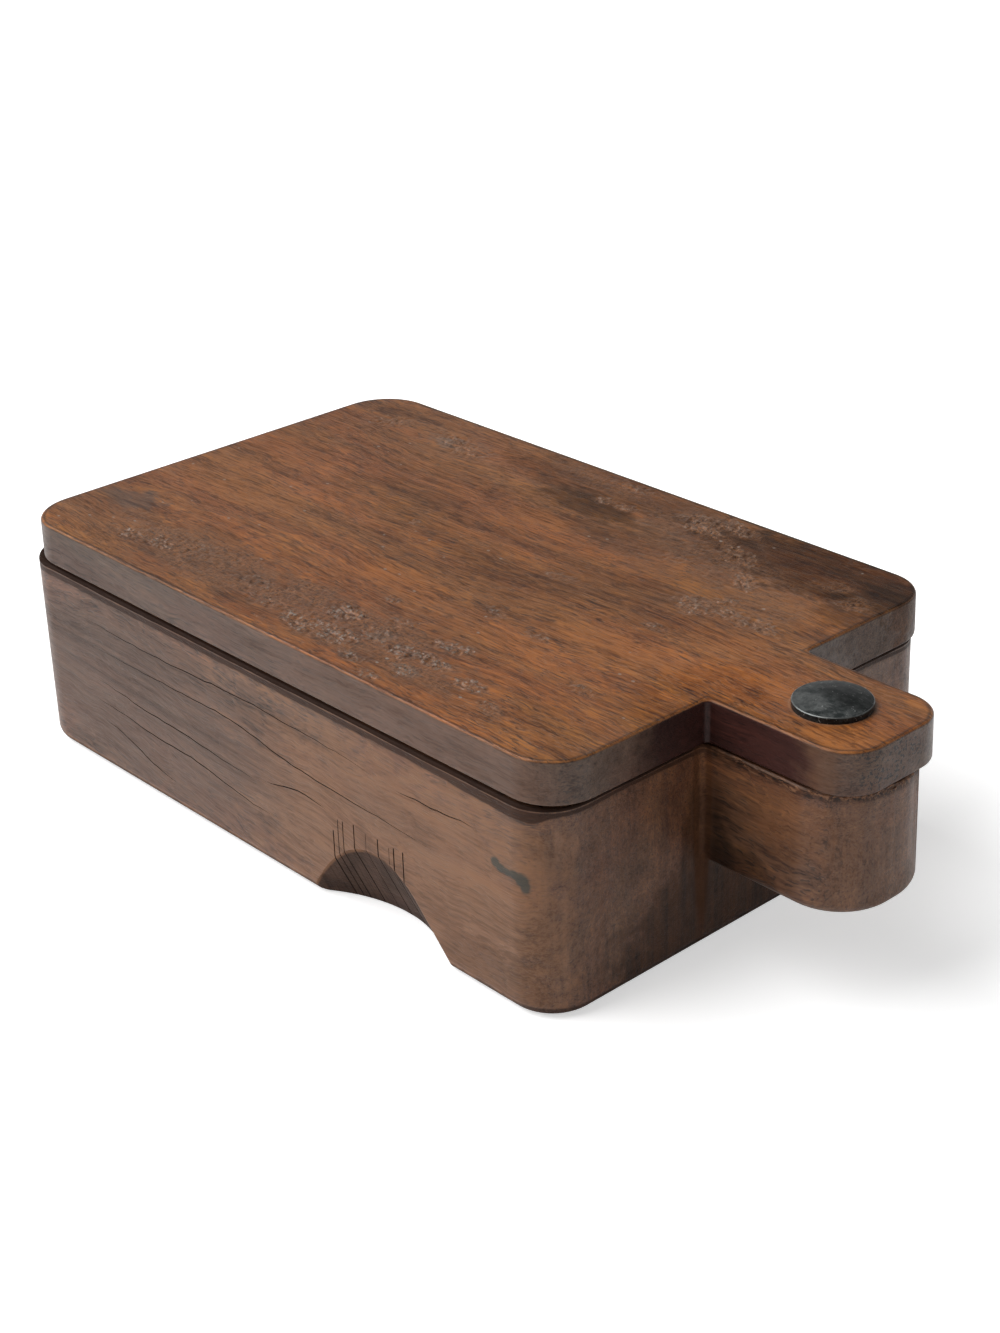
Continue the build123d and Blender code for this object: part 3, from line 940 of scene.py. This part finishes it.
def on_path(points, x):
    """Height of a crack at x, between the points that it passes."""
    for (x_low, z_low), (x_high, z_high) in zip(points, points[1:]):
        if x <= x_high:
            break
    share = soft_step(x, x_low, x_high)
    return z_low + (z_high - z_low) * share


def crack_cutter(points, side, carving):
    """A thin blade along a crack: open at the side face, closing inward and at both ends."""
    x_low, x_high = points[0][0] * MM, points[-1][0] * MM
    length = x_high - x_low
    face = body_high.y * side
    bpy.ops.mesh.primitive_cube_add(size=1, location=((x_low + x_high) / 2, face, 0))
    blade = bpy.context.object
    blade.scale = (length, 2 * carving.crack_depth, carving.crack_width)
    settle(blade)
    with editing(blade):
        pick_long(blade, 0, length / 2)
        bpy.ops.mesh.subdivide(number_cuts=max(8, int(length / (4 * MM))))
    for point in blade.data.vertices:
        share = (point.co.x - x_low) / length
        taper = math.sqrt(max(math.sin(math.pi * share), 0.0)) + 0.03
        waver = noise.noise(Vector((point.co.x * 160, points[0][1], side))) * 0.5 * MM
        inner = (point.co.y - face) * side < 0
        width = point.co.z * taper * (0.15 if inner else 1)
        point.co.z = on_path(points, point.co.x / MM) * MM + waver + width
        if inner:
            point.co.y = face - side * carving.crack_depth * taper
    return blade


def scoop_wall(x, z):
    """How far from the box's middle plane the finger scoop's surface lies at x and z."""
    offset = x - scoop_crown_x
    reach = scoop_turn * math.sin(scoop_flank)
    if offset < 0:
        rise = scoop_round - math.sqrt(scoop_round ** 2 - offset ** 2)
    elif offset < reach:
        rise = scoop_turn - math.sqrt(scoop_turn ** 2 - offset ** 2)
    else:
        rise = scoop_turn * (1 - math.cos(scoop_flank)) + (offset - reach) * math.tan(scoop_flank)
    return scoop_inner + rise / scoop_lean + scoop_tilt * z


def kerf_cutter(place, side, carving):
    """A slab in the plane of one saw cut: it starts on the side and follows the scoop down."""
    x, top, strength = place[0] * MM, place[1] * MM, place[2]
    wall, depth = body_high.y, carving.kerf_depth * strength
    edge = (wall - scoop_wall(x, 0)) / scoop_tilt
    knee = edge - 3 * MM
    profile = ((wall + MM, top), (wall - 0.3 * MM, top - 0.2 * MM),
               (scoop_wall(x, knee) - depth, knee), (scoop_wall(x, -MM) - depth, -MM),
               (wall + MM, -MM))
    bpy.ops.mesh.primitive_cylinder_add(
        vertices=len(profile), radius=MM, depth=carving.kerf_width * strength,
        location=(x, 0, 0), rotation=(0, math.pi / 2, 0))
    slab = bpy.context.object
    settle(slab)
    order = sorted(slab.data.vertices, key=lambda point: math.atan2(point.co.z, point.co.y))
    for number, point in enumerate(order):
        y, z = profile[number // 2]
        point.co.y, point.co.z = side * y, z
    with editing(slab):
        bpy.ops.mesh.select_all(action="SELECT")
        bpy.ops.mesh.normals_make_consistent(inside=False)
    return slab


def in_pocket(co):
    """True for places in or on the wall of a pocket."""
    end_wall, side_wall, bottom = 12.5 * MM, 11 * MM, 10 * MM
    along = body_low.x + end_wall < co.x < body_low.x + body_length - end_wall
    return along and abs(co.y) < body_high.y - side_wall and co.z > bottom


class BOX_OT_carve_body(bpy.types.Operator):
    """Carve the body: grain cracks, saw kerfs in the finger scoops and a worn, chipped rim"""
    bl_idname = "swivel_box.carve_body"
    bl_label = "Carve body"

    def execute(self, context):
        carving = context.scene.box_carving
        body = merged_copy("box_body", "carved_body")
        rim = body_high.z - 1.6 * MM

        def on_rim(face):
            return face.calc_center_median().z > rim

        def on_block_rim(face):
            return on_rim(face) and face.calc_center_median().x > block_start

        with editing(body):
            slice_faces(body, on_rim, 0, body_low.x, body_high.x, carving.rim_step)
            slice_faces(body, on_rim, 1, body_low.y, body_high.y, carving.rim_step)
            slice_faces(body, on_block_rim, 0, block_start, body_high.x, carving.chip_step)
            slice_faces(body, on_block_rim, 1, -block_reach, block_reach, carving.chip_step)
        self.wear_rim(body, carving)
        cutters = []
        for side, cracks, kerfs in ((-1, NEAR_CRACKS, NEAR_KERFS), (1, BACK_CRACKS, BACK_KERFS)):
            cutters += [crack_cutter(points, side, carving) for points in cracks]
            cutters += [kerf_cutter(place, side, carving) for place in kerfs]
        cutter = join(cutters, "cuts")
        finish = context.scene.wood_finish
        body.data.materials.append(make_body_wood(finish))
        cutter.data.materials.append(make_cut_wood(finish))
        before = len(body.data.vertices)
        apply_modifier(body, "BOOLEAN", object=cutter, operation="DIFFERENCE", solver="EXACT",
                       use_self=True, material_mode="TRANSFER")
        if len(body.data.vertices) <= before:
            raise RuntimeError("the cracks and kerfs left no mark on the body")
        bpy.data.objects.remove(cutter)
        write_mask(body, "bare", [float(
            in_pocket(point.co) and point.co.z < body_high.z - 1.2 * MM)
            for point in body.data.vertices])
        smooth(body, 32)
        dress(body, "box", "box_body")
        return {"FINISHED"}

    def wear_rim(self, body, carving):
        """Rounds the outer rim unevenly, and chips it along the handle block."""
        def worn_place(co, normal):
            if co.z < body_high.z - 1.55 * MM or in_pocket(co):
                return co
            lean = 1 - abs(normal.z)
            wave = noise.noise(co * 90) * 0.5 + 0.5
            worn = carving.rim_wear * wave * lean * 2
            if co.x > block_start:
                chip = soft_step(noise.noise(co * 330) + 0.4 * noise.noise(co * 800), 0.0, 0.4)
                worn += carving.chip_depth * chip * soft_step(lean, 0.05, 0.4)
            return co - normal * worn

        reshape(body, worn_place)


class BOX_OT_board_lid(bpy.types.Operator):
    """Shape the lid: a board with patches of torn grain and unevenly worn edges"""
    bl_idname = "swivel_box.board_lid"
    bl_label = "Board lid"

    def execute(self, context):
        carving = context.scene.lid_carving
        lid = merged_copy("lid", "lid_board")
        edge = lid_high.z - 1.35 * MM

        def upper(face):
            return face.calc_center_median().z > edge and face.normal.z > 0.05

        with editing(lid):
            slice_faces(lid, upper, 0, lid_low.x, lid_high.x, carving.board_step)
            slice_faces(lid, upper, 1, lid_low.y, lid_high.y, carving.board_step)
            pick(lid, "FACE", lambda face: face.normal.z > 0.999 and upper(face)
                 and any(torn_at(place)[0] > 0.03 for place in (
                     face.calc_center_median(), *(point.co for point in face.verts))))
            bpy.ops.mesh.subdivide(number_cuts=carving.torn_cuts, ngon=True)
        self.weather_top(lid, carving, edge)
        smooth(lid, 32)
        lid.data.materials.append(make_lid_wood(context.scene.wood_finish))
        dress(lid, "swivel_lid", "lid")
        return {"FINISHED"}

    def weather_top(self, lid, carving, edge):
        """Tears the grain of the flat top, wears the edge round it and stores both masks."""
        top = lid_high.z - 0.01 * MM
        grounds, flakes = [], []

        def worn_place(co, normal):
            ground = flake = 0.0
            if co.z > top and normal.z > 0.99:
                rise, ground, flake = torn_relief(co, carving)
                co.z += rise
            elif co.z > edge:
                wave = noise.noise(co * 110) * 0.5 + 0.5
                co -= normal * carving.edge_wear * wave * (1 - abs(normal.z)) * 2
            grounds.append(ground)
            flakes.append(flake)
            return co

        reshape(lid, worn_place)
        write_mask(lid, "torn", grounds)
        write_mask(lid, "flake", flakes)


def torn_at(co):
    """How rough and how flaky the lid's top is at a place, each from 0 to 1."""
    x, y = co.x / MM, co.y / MM
    ragged = 0.4 * noise.noise(Vector((x * 0.11, y * 0.17, 3)))
    ground = flaky = 0.0
    for centre_x, centre_y, length, width, turn, roughness, flakes in TORN_PATCHES:
        along, across = x - centre_x, y - centre_y
        if abs(along) > 1.6 * length or abs(across) > 1.6 * length:
            continue
        angle = math.radians(turn)
        u = (along * math.cos(angle) + across * math.sin(angle)) / length
        v = (across * math.cos(angle) - along * math.sin(angle)) / width
        inside = soft_step(1.1 - math.hypot(u, v) + ragged, 0, 0.6)
        ground = max(ground, roughness * inside)
        flaky = max(flaky, flakes * inside)
    return ground, flaky


def torn_relief(co, carving):
    """Height of the torn grain at a place, how rough it is and how much of a raised flake."""
    ground, flaky = torn_at(co)
    if ground == 0:
        return 0.0, 0.0, 0.0
    x, y = co.x / MM, co.y / MM
    chatter = noise.noise(Vector((0.34 * x + 0.2 * y, 0.5 * y - 0.12 * x, 1)))
    ridge = abs(noise.noise(Vector((0.42 * x + 0.16 * y, 0.62 * y - 0.1 * x, 6))))
    crumbs = noise.noise(Vector((0.8 * x, 1.2 * y, 9)))
    pit = soft_step(chatter, 0.0, 0.35)
    flake = soft_step(0.13 - ridge, -0.05, 0.12) * (1 - 0.7 * pit)
    rise = carving.flake_height * flake * flaky - carving.pit_depth * pit * (
        0.3 * ground + 0.7 * flaky) + 0.12 * MM * crumbs * ground
    return rise, ground, flake * flaky


class BOX_OT_forge_bolt(bpy.types.Operator):
    """Forge the bolt: a domed, hammered head, a square neck and a threaded shank"""
    bl_idname = "swivel_box.forge_bolt"
    bl_label = "Forge bolt"

    def execute(self, context):
        forging = context.scene.bolt_forging
        bolt = self.make_head(forging)
        for part in (self.make_neck(forging), self.make_shank(forging)):
            apply_modifier(bolt, "BOOLEAN", object=part, operation="UNION", solver="EXACT")
            bpy.data.objects.remove(part)
        bolt.name = "forged_bolt"
        smooth(bolt, 40)
        bolt.data.materials.append(make_black_iron(context.scene.metal_finish))
        dress(bolt, "swivel_lid", "pivot_bolt")
        return {"FINISHED"}

    def make_head(self, forging):
        """The head: a low drum whose top is inset and raised ring by ring into a dome."""
        radius = (bolt_high.x - bolt_low.x) / 2
        underside = lid_high.z
        rim_top = underside + forging.rim_height
        dome = bolt_high.z - rim_top
        bpy.ops.mesh.primitive_cylinder_add(
            vertices=96, radius=radius, depth=forging.rim_height,
            location=(pivot.x, pivot.y, underside + forging.rim_height / 2))
        head = bpy.context.object
        settle(head)
        rings = 12
        flat = radius - forging.rim_round
        with editing(head):
            pick(head, "EDGE", lambda edge: all(
                point.co.z > rim_top - 0.01 * MM for point in edge.verts))
            bpy.ops.mesh.bevel(offset=forging.rim_round, segments=5, affect="EDGES")
            pick(head, "FACE", lambda face: face.normal.z > 0.999)
            for ring in range(1, rings):
                bpy.ops.mesh.inset(thickness=flat / rings)
                share, last = 1 - ring / rings, 1 - (ring - 1) / rings
                rise = dome * (last ** 2 - share ** 2)
                bpy.ops.transform.translate(value=(0, 0, rise))
            bpy.ops.mesh.poke()
        for point in head.data.vertices:
            if point.co.z > rim_top - 0.2 * MM:
                dent = noise.noise(point.co * 260) + 0.5 * noise.noise(point.co * 620)
                point.co.z -= forging.dents * (0.8 + dent)
        return head

    def make_neck(self, forging):
        """The square neck, its lower edges eased."""
        width = 2 * forging.shank_radius
        length = forging.neck_length + 0.5 * MM
        middle = lid_high.z + 0.5 * MM - length / 2
        bpy.ops.mesh.primitive_cube_add(size=1, location=(pivot.x, pivot.y, middle))
        neck = bpy.context.object
        neck.scale = (width, width, length)
        settle(neck)
        with editing(neck):
            pick(neck, "FACE", lambda face: face.normal.z < -0.99)
            bpy.ops.mesh.bevel(offset=0.4 * MM, segments=2, affect="EDGES")
        return neck

    def make_shank(self, forging):
        """The shank: a long drum, ringed and moved in and out along a thread at its lower end."""
        top = lid_high.z - 0.5 * MM
        length = top - bolt_low.z
        bpy.ops.mesh.primitive_cylinder_add(
            vertices=48, radius=forging.shank_radius, depth=length,
            location=(pivot.x, pivot.y, bolt_low.z + length / 2))
        shank = bpy.context.object
        settle(shank)
        with editing(shank):
            pick_long(shank, 2, length / 2)
            bpy.ops.mesh.subdivide(number_cuts=int(length / forging.thread_pitch * 8))
        for point in shank.data.vertices:
            above = point.co.z - bolt_low.z
            across = Vector((point.co.x - pivot.x, point.co.y - pivot.y, 0))
            turn = math.atan2(across.y, across.x) / math.tau
            phase = (above / forging.thread_pitch - turn) % 1
            groove = 1 - abs(2 * phase - 1)
            fade = 1 - soft_step(above, forging.thread_length, forging.thread_length + 1 * MM)
            start = soft_step(above, -0.1 * MM, 1.2 * MM)
            inward = forging.thread_depth * max(groove * fade, 1 - start)
            point.co -= across.normalized() * inward
        return shank


class BOX_OT_plate_fasteners(bpy.types.Operator):
    """Plate the fasteners: the nut and both washers keep their shape and get dull steel"""
    bl_idname = "swivel_box.plate_fasteners"
    bl_label = "Plate fasteners"

    def execute(self, context):
        steel = make_dull_steel(context.scene.metal_finish)
        for name in ("spacer_washer", "base_washer", "pivot_nut"):
            frame["nodes"][name].material_slots[0].material = steel
        return {"FINISHED"}


class BOX_OT_set_stage(bpy.types.Operator):
    """Set the stage: the camera, a pale floor with an upturned rim, and soft even light"""
    bl_idname = "swivel_box.set_stage"
    bl_label = "Set stage"

    def execute(self, context):
        stage = context.scene.stage_setting
        self.place_camera(context, stage)
        self.lay_floor(stage)
        self.light(context, stage)
        context.scene.view_settings.view_transform = "Standard"
        return {"FINISHED"}

    def place_camera(self, context, stage):
        """The camera, turned, raised and rolled about the middle of the lid's board."""
        camera = bpy.data.objects.new("camera", bpy.data.cameras.new("camera"))
        context.scene.collection.objects.link(camera)
        camera.data.sensor_width = 36
        camera.data.lens = stage.focal_length
        camera.data.clip_start = 0.01
        camera.data.clip_end = 50
        facing = Matrix.Rotation(stage.azimuth, 4, "Z") @ Matrix.Rotation(
            math.pi / 2 - stage.elevation, 4, "X")
        offset = facing @ Vector((stage.aim_right, stage.aim_up, stage.distance))
        middle = Vector((stage.board_centre, 0, 0))
        camera.matrix_world = Matrix.Translation(middle + offset) @ facing @ Matrix.Rotation(
            stage.roll, 4, "Z")
        context.scene.camera = camera

    def lay_floor(self, stage):
        """A round floor, its edge extruded outward and up into a cove."""
        bpy.ops.mesh.primitive_circle_add(
            vertices=128, radius=stage.floor_radius, fill_type="NGON",
            location=(0, 0, -0.05 * MM))
        floor = bpy.context.object
        floor.name = "floor"
        settle(floor)
        steps = 10
        with editing(floor):
            pick(floor, "EDGE", lambda edge: edge.is_boundary)
            reach = stage.floor_radius
            for step in range(1, steps + 1):
                angle = math.pi / 2 * step / steps
                last = math.pi / 2 * (step - 1) / steps
                wider = stage.floor_radius + stage.cove_height * math.sin(angle)
                rise = stage.cove_height * (math.cos(last) - math.cos(angle))
                bpy.ops.mesh.extrude_edges_move(TRANSFORM_OT_translate={"value": (0, 0, rise)})
                grow = wider / reach
                bpy.ops.transform.resize(value=(grow, grow, 1), center_override=(0, 0, 0))
                reach = wider
        bpy.ops.object.shade_smooth()
        floor.data.materials.append(make_stage_white(stage))

    def light(self, context, stage):
        """One wide soft lamp high over the near left, and even light from all round."""
        lamp = bpy.data.lights.new("soft lamp", "SUN")
        lamp.energy = stage.sun
        lamp.angle = stage.sun_spread
        holder = bpy.data.objects.new("soft lamp", lamp)
        holder.rotation_euler = (math.pi / 2 - stage.sun_height, 0, stage.sun_turn)
        context.scene.collection.objects.link(holder)
        world = bpy.data.worlds.new("even light")
        world.use_nodes = True
        background = world.node_tree.nodes["Background"]
        background.inputs["Color"].default_value = (1, 1, 1, 1)
        background.inputs["Strength"].default_value = stage.sky
        context.scene.world = world


class BOX_PT_panel(bpy.types.Panel):
    """The steps of dressing the box, in order"""
    bl_idname = "BOX_PT_panel"
    bl_label = "Swivel lid box"
    bl_space_type = "VIEW_3D"
    bl_region_type = "UI"
    bl_category = "Box"

    def draw(self, context):
        for operator in operators:
            self.layout.operator(operator.bl_idname)
        for name in settings:
            group = getattr(context.scene, name)
            self.layout.label(text=name.replace("_", " ").capitalize())
            for key in group.__annotations__:
                self.layout.prop(group, key)


operators = (BOX_OT_set_stage, BOX_OT_carve_body, BOX_OT_board_lid, BOX_OT_forge_bolt,
             BOX_OT_plate_fasteners)
settings = {"box_carving": BodyCarving, "lid_carving": LidCarving, "bolt_forging": BoltForging,
            "wood_finish": WoodFinish, "metal_finish": MetalFinish, "stage_setting": StageSetting}


def register():
    for kind in (*settings.values(), *operators, BOX_PT_panel):
        bpy.utils.register_class(kind)
    for name, group in settings.items():
        setattr(bpy.types.Scene, name, bpy.props.PointerProperty(type=group))


def unregister():
    for name in settings:
        delattr(bpy.types.Scene, name)
    for kind in (BOX_PT_panel, *operators, *settings.values()):
        bpy.utils.unregister_class(kind)


def main():
    register()
    bpy.ops.swivel_box.set_stage()
    bpy.ops.swivel_box.carve_body()
    bpy.ops.swivel_box.board_lid()
    bpy.ops.swivel_box.forge_bolt()
    bpy.ops.swivel_box.plate_fasteners()


if __name__ == "__main__":
    main()
